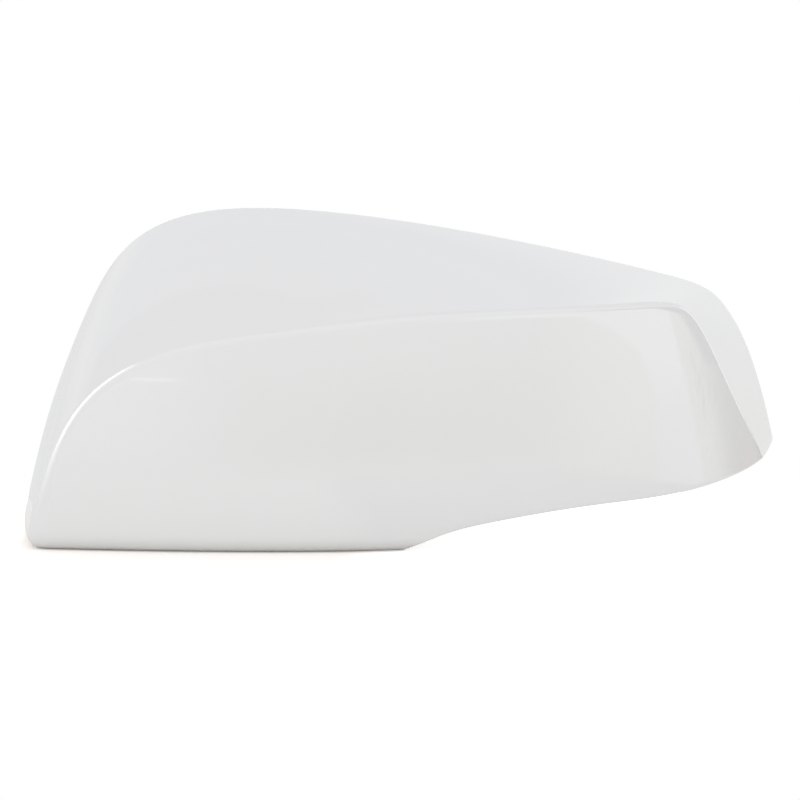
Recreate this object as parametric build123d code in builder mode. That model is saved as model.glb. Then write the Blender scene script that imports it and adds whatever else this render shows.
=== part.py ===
"""Wing mirror cover: one painted moulding that snaps over the front of a door mirror's housing.

Frame: +X outboard, +Y to the rear (the open rim), +Z up. The origin is under the middle of the cover,
level with its lower edge. Sizes are in millimetres.
"""
import os

from build123d import *

os.makedirs("parts", exist_ok=True)

# Overall form
LENGTH = 241.0  # inboard foot to outboard tip, at the rim
HEIGHT = 99.0  # top of the rim above the lower edge
DEPTH = 85.0  # foremost point of the face to the rim
WALL = 2.5  # thickness of the shell

# Front outline, which the walls run forward to
FRONT_LENGTH = 180.0
FRONT_HEIGHT = 69.0
FRONT_LEAD = 3.5  # how far the front outline stands ahead of the face
SWELL = 5.0  # fullness of the roof, half way between the outlines

# Face: how far its corners lie behind the front, how full it is, and how it leans
FACE_INBOARD_BACK = 10.5
FACE_INBOARD_FULL = 7.0
FACE_OUTBOARD_FULL = 17.0
FACE_OUTBOARD_PAST = 13.0  # its outboard end runs on behind the rim
FACE_FOOT_LEAN = 2.3
FACE_BELLY = 4.2
FACE_TOP_LEAN = 8.8

# Rounded edges
CREASE_RADIUS = 7.0  # between the face and the walls
FOOT_RADIUS = 4.2  # rolled lower edge, less than the crease's so that it turns the corner

# Raised lower edge of the outboard half, from the notch to the tip
NOTCH_X = -2.5  # where the flat lower edge ends
NOTCH_SLOPE = 0.4
NOTCH_RUN = 16.0
NOTCH_RISE = 5.5
SHOULDER_RUN = 30.5  # from the same place, to where the notch has eased off
SHOULDER_RISE = 8.0
TRIM_RISE = 11.3  # at a quarter of the length
LIFT_SETBACK = 16.0  # where the edge turns up, short of the tip
LIFT_RISE = 15.7
TIP_RISE = 26.0
TIP_SLOPE = 2.5
TIP_REACH = 0.3  # past half the length

# Lower flange and rim
FLANGE_DEPTH = 14.0  # along the face
SIDE_FLANGE = 8.0  # along the inboard wall
FLANGE_CORNER = 6.0
RIM_LAND = 1.5  # thickness left at the rim, which seats in the housing's groove
RIM_STEP = 4.0  # depth of that thinner edge

# Stop rib, parallel to the rim
STOP_SETBACK = 12.0
STOP_HEIGHT = 3.0
STOP_FOOT = 32.0  # where its two ends stand above the lower edge
RIB_THICKNESS = 1.5

# Snap tabs
TAB_WIDTH = 12.0
TAB_THICKNESS = 2.0
TAB_LENGTH = 21.0
TAB_GAP = 4.0  # between the tab and the wall at its root
TAB_ROOT = 5.0
TAB_BRACE = 7.0  # slope in front of the root
TAB_SETBACK = 2.0  # tip to the rim
WINDOW_LENGTH = 7.0
WINDOW_WIDTH = 7.0
WINDOW_EDGE = 3.5  # window to the tip
ROOF_TABS = (-64.0, -6.0, 50.0)  # places along the roof
INBOARD_TABS = (20.0, 44.0)  # heights on the inboard wall
OUTBOARD_TABS = (56.0,)  # heights on the outboard wall

# Locating pins on the back of the face
PIN_RADIUS = 3.0
PIN_LENGTH = 15.0
BOSS_RADIUS = 5.5
BOSS_LENGTH = 4.0
PIN_PLACES = ((-72.0, 32.0), (36.0, 38.0))  # across, up

# Gussets between the lower flange and the face
GUSSET_HEIGHT = 12.0
GUSSET_PLACES = (-92.0, -62.0, -32.0)

# Outlines of the walls as shares of their length and height, the control points of smooth curves:
# from the inboard foot, up the inboard wall, along the roof and down the outboard wall
RIM_OUTLINE = (
    (-0.506, -0.051),
    (-0.476, 0.277),
    (-0.432, 0.580),
    (-0.373, 0.917),
    (-0.228, 1.034),
    (0.089, 0.936),
    (0.389, 0.767),
    (0.429, 0.725),
    (0.487, 0.457),
    (0.521, -0.051),
)
FRONT_OUTLINE = (
    (-0.623, -0.072),
    (-0.594, 0.251),
    (-0.546, 0.597),
    (-0.420, 0.776),
    (-0.314, 0.874),
    (0.015, 0.986),
    (0.330, 0.937),
    (0.413, 1.092),
    (0.383, 0.734),
    (0.507, -0.072),
)
# Share of the swell at each of those points: strongest over the inboard half of the roof
SWELL_SHARES = (
    (-0.2, 0.0),
    (-0.4, 0.1),
    (-0.6, 0.3),
    (-0.7, 0.7),
    (0.0, 1.0),
    (0.0, 0.6),
    (0.0, 0.1),
    (0.0, 0.0),
    (0.1, 0.0),
    (0.1, 0.0),
)
DEGREE = 3  # of the outlines' curves
# Control points of the face: places across and up it, as shares of the length and height
FACE_ACROSS = (-0.54, -0.166, 0.249, 0.56)
FACE_UP = (-0.1, 0.46, 1.12)

# Places that follow from the sizes
RIM_Y = DEPTH / 2
FRONT_Y = -DEPTH / 2
REACH = 2 * LENGTH  # longer than any cut or probe needs to be
ROOT_DEPTH = 2 * WALL  # what stands on a wall is drawn this far into it, then cut back
FACE_DEPTHS = (FACE_INBOARD_BACK, -FACE_INBOARD_FULL, -FACE_OUTBOARD_FULL, DEPTH + FACE_OUTBOARD_PAST)
FACE_LEANS = (FACE_FOOT_LEAN, -FACE_BELLY, FACE_TOP_LEAN)


def upright(y):
    """Plane across the cover at depth y, seen from the front: local x outboard, local y up."""
    return Plane(origin=(0, y, 0), x_dir=(1, 0, 0), z_dir=(0, -1, 0))


def sized(outline, length, height):
    """Outline in millimetres."""
    return [(across * length, up * height) for across, up in outline]


def inset(points, distance):
    """Control points of an outline moved to the right of its run: every leg of their polygon moves over."""
    corners = [Vector(*point) for point in points]
    runs = [(end - start).normalized() for start, end in zip(corners, corners[1:])]
    sides = [Vector(run.Y, -run.X) for run in runs]
    moved = [corners[0] + sides[0] * distance]
    for corner, before, after in zip(corners[1:], sides, sides[1:]):
        moved.append(corner + (before + after) * (distance / (1 + before.dot(after))))
    moved.append(corners[-1] + sides[-1] * distance)
    return [(point.X, point.Y) for point in moved]


def wall_section(y, points):
    """Closed section of the wall form: a cubic curve over the arch and a straight line under it."""
    spans = len(points) - DEGREE
    knots = [0.0] * DEGREE + [span / spans for span in range(spans + 1)] + [1.0] * DEGREE
    with BuildSketch(upright(y)) as section:
        with BuildLine():
            arch = BSpline(points, knots, degree=DEGREE)
            Line(arch @ 1, arch @ 0)
        make_face()
    return section.sketch


def face_skin(distance):
    """Skin of the face, or a skin this far behind it."""
    plan = [(across * LENGTH, FRONT_Y + depth) for across, depth in zip(FACE_ACROSS, FACE_DEPTHS)]
    rows = zip(FACE_UP, FACE_LEANS)
    return Face.make_bezier_surface(
        [[(x, y + lean, up * HEIGHT) for x, y in inset(plan, -distance)] for up, lean in rows]
    )


def form(distance):
    """Solid between the face and the rim, with its walls, face and base moved in by this distance."""
    with BuildPart() as solid:
        loft(sections=[wall_section(y, inset(points, distance)) for y, points in OUTLINES])
        extrude(to_extrude=face_skin(distance), amount=REACH, dir=(0, 1, 0), mode=Mode.INTERSECT)
        split(bisect_by=Plane.XY.offset(distance), keep=Keep.TOP)
    return solid.part


# The walls run through three outlines: ahead of the face, half way, and the rim
rim_points = sized(RIM_OUTLINE, LENGTH, HEIGHT)
front_points = sized(FRONT_OUTLINE, FRONT_LENGTH, FRONT_HEIGHT)
middle_points = [
    ((rim[0] + front[0]) / 2 + share[0] * SWELL, (rim[1] + front[1]) / 2 + share[1] * SWELL)
    for rim, front, share in zip(rim_points, front_points, SWELL_SHARES)
]
front_y = FRONT_Y - FRONT_LEAD
OUTLINES = ((front_y, front_points), ((front_y + RIM_Y) / 2, middle_points), (RIM_Y, rim_points))

blank = form(0)
wall_skin = blank.faces().filter_by(GeomType.BSPLINE).sort_by(SortBy.AREA)[-1]

# Outer form: raised lower edge outboard, then the rounded crease and the rolled foot
with BuildPart() as outer:
    add(blank)
    with BuildSketch(upright(RIM_Y + WALL)):
        with BuildLine():
            trim = Spline(
                (NOTCH_X, 0),
                (NOTCH_X + NOTCH_RUN, NOTCH_RISE),
                (NOTCH_X + SHOULDER_RUN, SHOULDER_RISE),
                (LENGTH / 4, TRIM_RISE),
                (LENGTH / 2 - LIFT_SETBACK, LIFT_RISE),
                (LENGTH / 2 + TIP_REACH, TIP_RISE),
                tangents=((1, NOTCH_SLOPE), (1, TIP_SLOPE)),
            )
            Polyline(trim @ 1, (REACH, TIP_RISE), (REACH, -HEIGHT), (NOTCH_X, -HEIGHT), trim @ 0)
        make_face()
    extrude(amount=REACH, mode=Mode.SUBTRACT)
    face = outer.faces().filter_by(GeomType.BEZIER)[0]
    wall = outer.faces().filter_by(GeomType.BSPLINE).sort_by(SortBy.AREA)[-1]
    fillet(face.edges() & wall.edges(), CREASE_RADIUS)
    base = outer.faces().sort_by(Axis.Z)[0]
    rim = outer.faces().sort_by(Axis.Y)[-1]
    trim_cut = outer.faces().filter_by(GeomType.EXTRUSION)[0]
    fillet(base.edges() - rim.edges() - trim_cut.edges(), FOOT_RADIUS)


def probe(skin, start, direction):
    """Point and outward normal where a line from inside the cover meets a skin, furthest along the line."""
    return skin.find_intersection_points(Axis(start, direction))[-1]


def tab_plane(start, direction):
    """Plane of a snap tab's side: local x to the rear, local y inward from the wall's inner side."""
    point, normal = probe(wall_skin, start, direction)
    inward = -Vector(normal.X, 0, normal.Z).normalized()
    root = Vector(point.X, point.Y, point.Z) + inward * WALL
    return Plane(origin=root, x_dir=(0, 1, 0), z_dir=Vector(0, 1, 0).cross(inward))


# What stands on the inner side is cut back to the middle of the wall, so that it is rooted there
wall_middle = form(WALL / 2)

tab_y = RIM_Y - TAB_SETBACK - TAB_LENGTH
roof_starts = [((x, tab_y, 0), (0, 0, 1)) for x in ROOF_TABS]
inboard_starts = [((0, tab_y, z), (-1, 0, 0)) for z in INBOARD_TABS]
outboard_starts = [((0, tab_y, z), (1, 0, 0)) for z in OUTBOARD_TABS]
tab_planes = [tab_plane(*start) for start in roof_starts + inboard_starts + outboard_starts]

with BuildPart() as fixings:
    # Snap tabs
    for plane in tab_planes:
        with BuildSketch(plane):
            with BuildLine():
                Polyline(
                    (-TAB_BRACE, -ROOT_DEPTH),
                    (-TAB_BRACE, 0),
                    (0, TAB_GAP + TAB_THICKNESS),
                    (TAB_LENGTH, TAB_GAP + TAB_THICKNESS),
                    (TAB_LENGTH, TAB_GAP),
                    (TAB_ROOT, TAB_GAP),
                    (TAB_ROOT, -ROOT_DEPTH),
                    close=True,
                )
            make_face()
        extrude(amount=TAB_WIDTH / 2, both=True)
    # Locating pins
    for x, z in PIN_PLACES:
        seat = probe(face_skin(0), (x, RIM_Y, z), (0, -1, 0))[0]
        with BuildSketch(upright(seat.Y)):
            with Locations((x, z)):
                Circle(BOSS_RADIUS)
        extrude(amount=-(WALL + BOSS_LENGTH))
        with BuildSketch(upright(seat.Y)):
            with Locations((x, z)):
                Circle(PIN_RADIUS)
        extrude(amount=-(WALL + PIN_LENGTH))
    # Gussets
    for x in GUSSET_PLACES:
        with BuildSketch(Plane.YZ.offset(x)):
            with BuildLine():
                Polyline(
                    (FRONT_Y, 0),
                    (FRONT_Y + FLANGE_DEPTH - RIB_THICKNESS, 0),
                    (FRONT_Y + FLANGE_DEPTH - RIB_THICKNESS, WALL),
                    (FRONT_Y + WALL, WALL + GUSSET_HEIGHT),
                    (FRONT_Y, WALL + GUSSET_HEIGHT),
                    close=True,
                )
            make_face()
        extrude(amount=RIB_THICKNESS / 2, both=True)
    add(wall_middle, mode=Mode.INTERSECT)

# Stop rib: a band of the shell's inner side, parallel to the rim
with BuildPart() as stop_rib:
    add(wall_middle)
    add(form(WALL + STOP_HEIGHT), mode=Mode.SUBTRACT)
    with BuildSketch(upright(RIM_Y - STOP_SETBACK)):
        with Locations((0, STOP_FOOT)):
            Rectangle(REACH, REACH, align=(Align.CENTER, Align.MIN))
    extrude(amount=RIB_THICKNESS, mode=Mode.INTERSECT)

# Thinner edge at the rim
with BuildPart() as rim_step:
    add(form(RIM_LAND))
    split(bisect_by=upright(RIM_Y - RIM_STEP), keep=Keep.BOTTOM)


with BuildPart() as mirror_cover:
    add(outer.part)
    add(form(WALL), mode=Mode.SUBTRACT)
    add(rim_step.part, mode=Mode.SUBTRACT)
    add(stop_rib.part)
    add(fixings.part)
    # Opening behind the lower flange
    with BuildSketch(Plane.XY):
        with BuildLine():
            FilletPolyline(
                (rim_points[0][0] + SIDE_FLANGE, REACH),
                (rim_points[0][0] + SIDE_FLANGE, RIM_Y),
                (front_points[0][0] + SIDE_FLANGE, FRONT_Y + FLANGE_DEPTH),
                (REACH, FRONT_Y + FLANGE_DEPTH),
                (REACH, REACH),
                radius=FLANGE_CORNER,
                close=True,
            )
        make_face()
    extrude(amount=WALL, mode=Mode.SUBTRACT)
    # Windows of the snap tabs
    for plane in tab_planes:
        with BuildSketch(Plane(plane.origin, plane.x_dir, -plane.y_dir)):
            with Locations((TAB_LENGTH - WINDOW_EDGE - WINDOW_LENGTH / 2, 0)):
                Rectangle(WINDOW_LENGTH, WINDOW_WIDTH)
        extrude(amount=-(TAB_GAP + 2 * TAB_THICKNESS), mode=Mode.SUBTRACT)
mirror_cover.part.label = "mirror_cover"
export_step(mirror_cover.part, "parts/mirror_cover.step")
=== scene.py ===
"""Wing mirror cover: a painted shell with its snap tabs, pins and ribs, on a white floor.

The frame has +X outboard, +Y to the rear, where the cover is open, and +Z up. Lengths are in metres.
"""
import math

import bpy
import numpy as np
from bpy.props import FloatProperty, FloatVectorProperty, IntProperty, PointerProperty
from bpy.types import Operator, Panel, PropertyGroup
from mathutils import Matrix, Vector


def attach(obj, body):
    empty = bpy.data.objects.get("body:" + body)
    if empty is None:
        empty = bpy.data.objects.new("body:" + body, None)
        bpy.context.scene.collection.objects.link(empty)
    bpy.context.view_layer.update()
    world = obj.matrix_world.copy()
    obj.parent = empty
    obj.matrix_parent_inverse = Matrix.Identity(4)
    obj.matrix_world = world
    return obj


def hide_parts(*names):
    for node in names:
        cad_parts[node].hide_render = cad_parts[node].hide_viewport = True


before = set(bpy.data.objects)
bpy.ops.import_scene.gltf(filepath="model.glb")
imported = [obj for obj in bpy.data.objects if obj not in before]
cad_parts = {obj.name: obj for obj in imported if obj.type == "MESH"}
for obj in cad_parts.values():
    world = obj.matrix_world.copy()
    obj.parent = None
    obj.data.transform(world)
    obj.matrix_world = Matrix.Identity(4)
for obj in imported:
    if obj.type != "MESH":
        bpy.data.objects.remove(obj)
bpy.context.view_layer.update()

bl_info = {
    "name": "Wing mirror cover",
    "version": (1, 0, 0),
    "blender": (4, 5, 0),
    "location": "View3D > Sidebar > Mirror cover",
    "description": "Builds a painted wing mirror cover around its solid model",
    "category": "Mesh",
}

BODY = "root"
NODE = "mirror_cover"

# Control points of the walls' outlines, as shares of their length and height, from the inboard foot over
# the roof to the outboard foot, and how much of the swell each one takes half way between the outlines
RIM_OUTLINE = np.array([
    (-0.506, -0.051), (-0.476, 0.277), (-0.432, 0.580), (-0.373, 0.917), (-0.228, 1.034),
    (0.089, 0.936), (0.389, 0.767), (0.429, 0.725), (0.487, 0.457), (0.521, -0.051),
])
FRONT_OUTLINE = np.array([
    (-0.623, -0.072), (-0.594, 0.251), (-0.546, 0.597), (-0.420, 0.776), (-0.314, 0.874),
    (0.015, 0.986), (0.330, 0.937), (0.413, 1.092), (0.383, 0.734), (0.507, -0.072),
])
SWELL_SHARES = np.array([
    (-0.2, 0.0), (-0.4, 0.1), (-0.6, 0.3), (-0.7, 0.7), (0.0, 1.0),
    (0.0, 0.6), (0.0, 0.1), (0.0, 0.0), (0.1, 0.0), (0.1, 0.0),
])
DEGREE = 3  # of the outlines' splines

# Control points of the face: places across and up it, as shares of the length and height
FACE_ACROSS = np.array([-0.54, -0.166, 0.249, 0.56])
FACE_UP = np.array([-0.1, 0.46, 1.12])

# Stretches of u, along the outline, that hold the inboard wall, the roof and the outboard wall
INBOARD = (0.0, 0.36)
ROOF = (0.2, 0.74)
OUTBOARD = (0.74, 1.0)
INBOARD_CREASE = 0.4  # up to here the crease softens towards the inboard foot
OUTBOARD_CREASE = 0.6  # and from here on towards the outboard tip
PAST_FOOT = -0.04  # the outline runs on this far below its start
TAB_STRETCH = 0.12  # of u to each side of a tab's middle, which holds its whole foot
# Highest v where the face may meet the walls, and where the ball that rounds the crease may touch them
MEETING_LIMIT = 1.15
CONTACT_LIMIT = 1.3
FACE_OVERRUN = 0.1  # share by which the face's plan curve may run on past its ends
LAND_SHARES = (0.3, 0.65, 1.0)  # rows over the rim's thin land, as shares of its depth
UP = np.array([0.0, 0.0, 1.0])
REAR = np.array([0.0, 1.0, 0.0])

# Raised lower edge of the outboard half: places along the cover from the notch, and heights
TRIM_POINTS = ((0.0113, 0.0048), (0.0258, 0.0079))
TRIM_QUARTER = 0.0113  # height at a quarter of the length
TRIM_LIFT = (0.016, 0.0157)  # where the edge turns up, short of the tip, and its height there
TRIM_TIP = (0.0003, 0.026)  # past half the length, and its height there
TRIM_SLOPES = (0.5, 2.5)

# Places of the fixings
ROOF_TABS = (-0.064, -0.006, 0.050)
INBOARD_TABS = (0.020, 0.044)
OUTBOARD_TABS = (0.056,)
PIN_PLACES = ((-0.072, 0.032), (0.036, 0.038))
GUSSET_PLACES = (-0.092, -0.062, -0.032)

# How finely the shapes are worked out
CREASE_SAMPLES = 3000
TRIM_SAMPLES = 200  # to each span of the raised edge
LIFT_SAMPLES = 4000  # where the raised edge leaves the rolled foot
FLANGE_SAMPLES = 1500  # to each straight run of the flange's inner edge
CORNER_SAMPLES = 60  # round the flange's inner corner
EDGE_SEGMENTS = 3  # to each quarter turn of the shell's open edges
PIN_SIDES = 64
PIN_SEGMENTS = 5  # to each rounding of a pin's profile
RIB_COLUMNS = 220
HALVINGS = 46  # of a stretch, to find a place in it
PLAN_STEPS = 12  # rounds that find a place on the face's plan curve
NEAREST_STEPS = 6  # rounds that find the face's nearest point
FOOT_STEPS = 8  # rounds that find the top of the rolled foot
SLOPE_STEP = 1e-4  # of u and v, for slopes
WELD = 1e-7  # points nearer than this are one
BELOW = -1.0  # lower than any edge
BEVEL_SEGMENTS = 2
BEVEL_ANGLE = math.radians(30)
SHARP_ANGLE = math.radians(40)

# Finishes: noise over the surface, the shades and roughnesses that it runs between, and where overspray lies
CLOUDINESS = {"Scale": 28.0, "Detail": 3.0}
PAINT_SHADES = (0.985, 1.0)
PAINT_ROUGHNESS = (0.04, 0.06)
FOOT_SHADE_HEIGHTS = (0.0045, 0.0)  # heights between which painted shade darkens the paint on the rolled foot
FLOW = {"Scale": 16.0, "Detail": 4.0}
PLASTIC_SHADES = (0.9, 1.08)
PLASTIC_ROUGHNESS = (0.42, 0.6)
SPECKS = {"Scale": 2400.0, "Detail": 2.0}
GRAIN = {"Strength": 0.25, "Distance": 0.00004}
SPRAY_WANDER = 0.012  # how far the edge of the overspray wanders
SPRAY_DEPTHS = (0.026, 0.047)  # it fades in over these depths
SPRAY_DENSITY = 1.6
SPRAY_LEVELS = (0.6, 1.6)  # amounts of dust that leave the plastic bare and that cover it
MIX_INPUTS = (0, 6, 7)  # a Mix node's factor and its two colours
MIX_OUTPUT = 2  # the colour that it gives

# Surroundings: pale colours, seen as faint edges in the gloss
WHITE = (1.0, 1.0, 1.0)
LIGHT_TINT = (1.0, 0.997, 0.991)
LIGHT_LEAN = (-0.02, -0.05, -0.02)  # how much the soft light grows to the right, the rear and upwards
REAR_SKY = (0.735, 0.725, 0.765)
REAR_LOW = (0.85, 0.85, 0.85)
REAR_LOW_HEIGHTS = (math.radians(28), math.radians(8))
REAR_LEAST = 0.01  # least share of a direction that points to the rear
SKY_TURN = (0.1, -0.1)  # shares to the rear between which the rear sky gives way to the white one ahead
FRONT = (0.86, 0.86, 0.83)
FRONT_MIDDLE = (math.radians(18), math.radians(-4.4))  # bearing and height
FRONT_REACH = (math.radians(59.4), math.radians(12.2))
FRONT_EDGE = 0.02  # softness, as a share of the reach
WINDOW = (0.797, 0.804, 0.84)
WINDOW_MIDDLE = (-0.25, 0.87)  # across and up the wall behind, as shares of its distance
WINDOW_REACH = (0.56, 0.605, 0.86)  # to the left, upwards and downwards
WINDOW_SLANT = 0.40  # how far its right side moves to the left for each unit up
WINDOW_RIGHT = (0.474, 0.459)  # from outside to inside that side
WINDOW_EDGE = 0.04  # softness, as a share of the reach

# Each panel: bearings from and to in degrees with the softness of both edges, how far the bearing moves back
# for each degree of height, heights in the same way, and its colour
FRONT_PANELS = (
    ("Left wall", (-60, -13, 5, 9), 0, (-40, 20, 5, 5), (1.20, 1.23, 1.26)),
    ("Right wall", (58, 90, 14, 5), 0, (-40, 20, 5, 5), (1.16, 1.16, 1.0)),
    ("Shade", (2, 46, 16, 16), 0, (-9, 1, 4, 5), (0.66, 0.66, 0.55)),
    ("Lower front", (-90, 90, 5, 5), 0, (-60, -8, 5, 3), (1.08, 1.07, 1.04)),
    ("Slanted post", (79.0, 79.4, 0.15, 0.15), -0.89, (-8.6, -4.4, 0.8, 0.3), (0.92, 0.92, 0.80)),
    ("Upright post", (72.3, 72.7, 0.15, 0.15), 0.62, (-9, -5, 0.8, 0.3), (0.92, 0.92, 0.80)),
    ("Thin lamp", (-22, -13, 1.0, 2.0), 0, (1.38, 1.62, 0.1, 0.1), (2.2, 2.2, 2.2)),
)
WALL_PANELS = (
    ("Left rear", (-185, -143, 5, 5), 0, (-20, 7, 5, 6), (0.785, 0.79, 0.79)),
    ("Right rear", (136, 185, 4, 5), 0, (-20, 25, 5, 6), (0.885, 0.89, 0.90)),
    ("Bright wall", (30, 90, 8, 4), 0, (-30, 12, 5, 6), (1.42, 1.44, 1.46)),
    ("Bright wall's foot", (30, 90, 8, 4), 0, (-30, -2.5, 5, 2.5), (1.21, 1.21, 1.23)),
)
EDGE_PANELS = (
    ("Warm edge", (82.8, 127, 0.7, 2), 0.88, (-40, 4, 5, 2), (0.95, 0.95, 0.78)),
)
SIDE_PANELS = (
    ("Dark corner", (89, 127, 4.2, 2), 0.88, (-40, 4, 5, 2), (0.12, 0.11, 0.07)),
    ("Red glow", (94, 112, 2, 3), 0.88, (-16, -7.2, 3, 0.6), (0.30, 0.10, 0.05)),
    ("Dark wedge", (87.3, 138, 0.7, 6), 1.85, (-1.9, 20, 0.3, 6), (0.04, 0.04, 0.03)),
    ("Bright seam", (106, 128, 3, 3), 0, (0, 30, 1, 5), (1.5, 1.5, 1.5)),
    ("Low side", (132, 150, 3, 10), 0, (-20, 4, 4, 4), (0.90, 0.90, 0.87)),
    ("Strip lamp", (-111, -73, 3, 3), 0, (8, 52, 12, 3), (3.2, 3.2, 3.2)),
)
STREAK = (0.42, 0.41, 0.34)
STREAKS = (75.0, 28.0)  # how many to a radian of bearing and of height
STREAK_NOISE = {"Scale": 1.0, "Detail": 2.0}
STREAK_EDGE = (0.47, 0.66)  # levels of noise between which a streak shows
STREAK_SLANT = 0.88
STREAK_BEARINGS = tuple(math.radians(angle) for angle in (85.2, 91, 1.0, 2.5))
STREAK_HEIGHTS = tuple(math.radians(angle) for angle in (-5.5, 2.0, 1.5, 1.0))

# Floor and camera
FLOOR_ROUGHNESS = 0.9
FLOOR_FRONT = (-0.044, -0.062)  # from here to there, towards the camera, the floor's glow shows in the gloss
FLOOR_MIRRORED = 1.35  # how much stronger it is there
FLOOR_BRIGHTENS = (-0.02, 0.01)  # from here to there painted light whitens the floor and washes out its shadow, under the raised edge
FLOOR_LEFT = (-0.114, -0.124)  # and so it does beside the inboard wall
FLOOR_WHITE = (0.6, 0.6, 0.6)  # its glow there, the painted light
SENSOR = 36.0  # width in millimetres


def length(name, description, default):
    """A length that the user may change."""
    return FloatProperty(name=name, description=description, default=default, unit="LENGTH", precision=5)


def colour(name, description, default):
    """A colour that the user may change."""
    return FloatVectorProperty(name=name, description=description, default=default, subtype="COLOR", size=3)


class CoverSizes(PropertyGroup):
    """Sizes of the shell."""

    length: length("Length", "Inboard foot to outboard tip, at the rim", 0.2407)
    height: length("Height", "Top of the rim above the lower edge", 0.099)
    depth: length("Depth", "Foremost point of the face to the rim", 0.085)
    wall: length("Wall", "Thickness of the shell", 0.0025)
    front_length: length("Front length", "Length of the outline ahead of the face", 0.180)
    front_height: length("Front height", "Height of the outline ahead of the face", 0.069)
    front_lead: length("Front lead", "How far that outline stands ahead of the face", 0.0035)
    swell: length("Swell", "Fullness of the roof", 0.005)
    face_inboard_back: length("Face inboard", "Inboard end of the face behind the front", 0.0105)
    face_inboard_full: length("Inboard fullness", "How full the face is inboard", 0.007)
    face_outboard_full: length("Outboard fullness", "How full the face is outboard", 0.017)
    face_outboard_past: length("Face outboard", "Outboard end of the face behind the rim", 0.013)
    face_foot_lean: length("Foot lean", "Lower edge of the face, back from its plan", 0.0023)
    face_belly: length("Belly", "Middle of the face, ahead of its plan", 0.0042)
    face_top_lean: length("Top lean", "Top of the face, back from its plan", 0.0088)
    crease_radius: length("Crease radius", "Rounding between the face and the walls", 0.0038)
    crease_foot: length("Crease at the foot", "How much rounder the crease is at the inboard foot", 0.0032)
    crease_foot_height: length("Foot softening", "Height over which the inboard crease softens", 0.040)
    crease_tighter: length("Tighter crease", "How much tighter the crease is outboard", 0.0016)
    crease_tightens: length("Tightens from", "Where the crease begins to tighten", -0.085)
    crease_tightening: length("Tightening", "Length over which the crease tightens", 0.055)
    crease_tip: length("Crease at the tip", "How much rounder the crease is at the outboard tip", 0.0045)
    crease_tip_low: length("Tip softening from", "Height where the outboard crease is softest", 0.018)
    crease_tip_height: length("Tip softening", "Height over which the outboard crease softens", 0.034)
    foot_radius: length("Foot radius", "Rolled lower edge", 0.0042)
    edge: length("Edge radius", "Rounding of the shell's open edges", 0.0004)
    rim_land: length("Rim land", "Thickness left at the rim", 0.0015)
    rim_step: length("Rim step", "Depth of that thinner edge", 0.004)
    notch_x: length("Notch", "Where the flat lower edge ends", 0.0022)
    flange_depth: length("Flange", "Depth of the lower flange along the face", 0.014)
    side_flange: length("Side flange", "Width of the flange along the inboard wall", 0.008)
    flange_corner: length("Flange corner", "Rounding of the flange's inner corner", 0.006)
    columns: IntProperty(name="Columns", description="Points along the outline", default=300, min=40)


class FixingSizes(PropertyGroup):
    """Sizes of what stands on the inner side."""

    tab_width: length("Tab width", "Width of a snap tab", 0.012)
    tab_thickness: length("Tab thickness", "Thickness of its arm", 0.002)
    tab_length: length("Tab length", "Root to tip", 0.021)
    tab_gap: length("Tab gap", "Between the arm and the wall", 0.004)
    tab_root: length("Tab root", "Length of the root", 0.005)
    tab_brace: length("Tab brace", "Slope in front of the root", 0.007)
    tab_setback: length("Tab setback", "Tip to the rim", 0.002)
    window: length("Window", "Length and width of the window", 0.007)
    window_edge: length("Window edge", "Window to the tip", 0.0035)
    pin_radius: length("Pin radius", "Radius of a locating pin", 0.003)
    pin_length: length("Pin length", "How far it stands off the face", 0.015)
    pin_chamfer: length("Pin chamfer", "Lead-in at its end", 0.0008)
    boss_radius: length("Boss radius", "Radius of its boss", 0.0055)
    boss_length: length("Boss length", "Height of its boss", 0.004)
    root_fillet: length("Root fillet", "Rounding at the foot of the boss", 0.001)
    stop_setback: length("Stop setback", "Stop rib to the rim", 0.012)
    stop_height: length("Stop height", "How far the rib stands off the wall", 0.003)
    stop_foot: length("Stop foot", "Height of the rib's two ends", 0.032)
    rib: length("Rib thickness", "Thickness of the stop rib and the gussets", 0.0015)
    gusset_height: length("Gusset height", "How far a gusset runs up the face", 0.012)
    bevel: length("Bevel", "Rounding of the fixings' edges", 0.00025)


class CoverFinish(PropertyGroup):
    """Colours and gloss."""

    paint: colour("Paint", "White body paint", (0.785, 0.787, 0.795))
    # foot: a darker, warmer paint colour that is painted shade on the rolled foot, where it turns under
    # towards the floor
    foot: colour("Foot", "Paint where it thins on the rolled foot", (0.745, 0.74, 0.715))
    plastic: colour("Plastic", "Bare plastic of the inner side", (0.52, 0.52, 0.515))
    coat_roughness: FloatProperty(
        name="Coat roughness", description="Roughness of the clear coat", default=0.012, min=0.0, max=1.0)


class StageSetup(PropertyGroup):
    """Camera and light."""

    camera_distance: length("Camera distance", "Camera to the point that it looks at", 1.1)
    camera_rise: FloatProperty(
        name="Camera rise", description="Angle above the horizon", default=math.radians(6), subtype="ANGLE")
    aim_height: length("Aim height", "Height of the point that it looks at", 0.0416)
    lens: FloatProperty(name="Lens", description="Focal length over sensor width", default=4.455)
    light: FloatProperty(name="Light", description="Level of the surrounding light", default=0.985)
    floor: colour("Floor", "Floor", (0.92, 0.912, 0.905))
    floor_glow: colour("Floor glow", "Added where the floor is seen, to be white", (0.237, 0.213, 0.199))
    floor_size: length("Floor size", "Side of the floor", 0.36)
    floor_rear: length("Floor rear", "How far the floor runs behind the cover's middle", 0.1)
    floor_drop: length("Floor drop", "Gap under the cover", 0.0002)


def unit(vectors):
    """Vectors of length one."""
    return vectors / np.linalg.norm(vectors, axis=-1, keepdims=True)


def dot(a, b):
    """Scalar products of two arrays of vectors."""
    return np.sum(a * b, axis=-1)


def smooth(share):
    """Runs from 0 to 1 with a soft start and end."""
    share = np.clip(share, 0, 1)
    return share * share * (3 - 2 * share)


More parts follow.
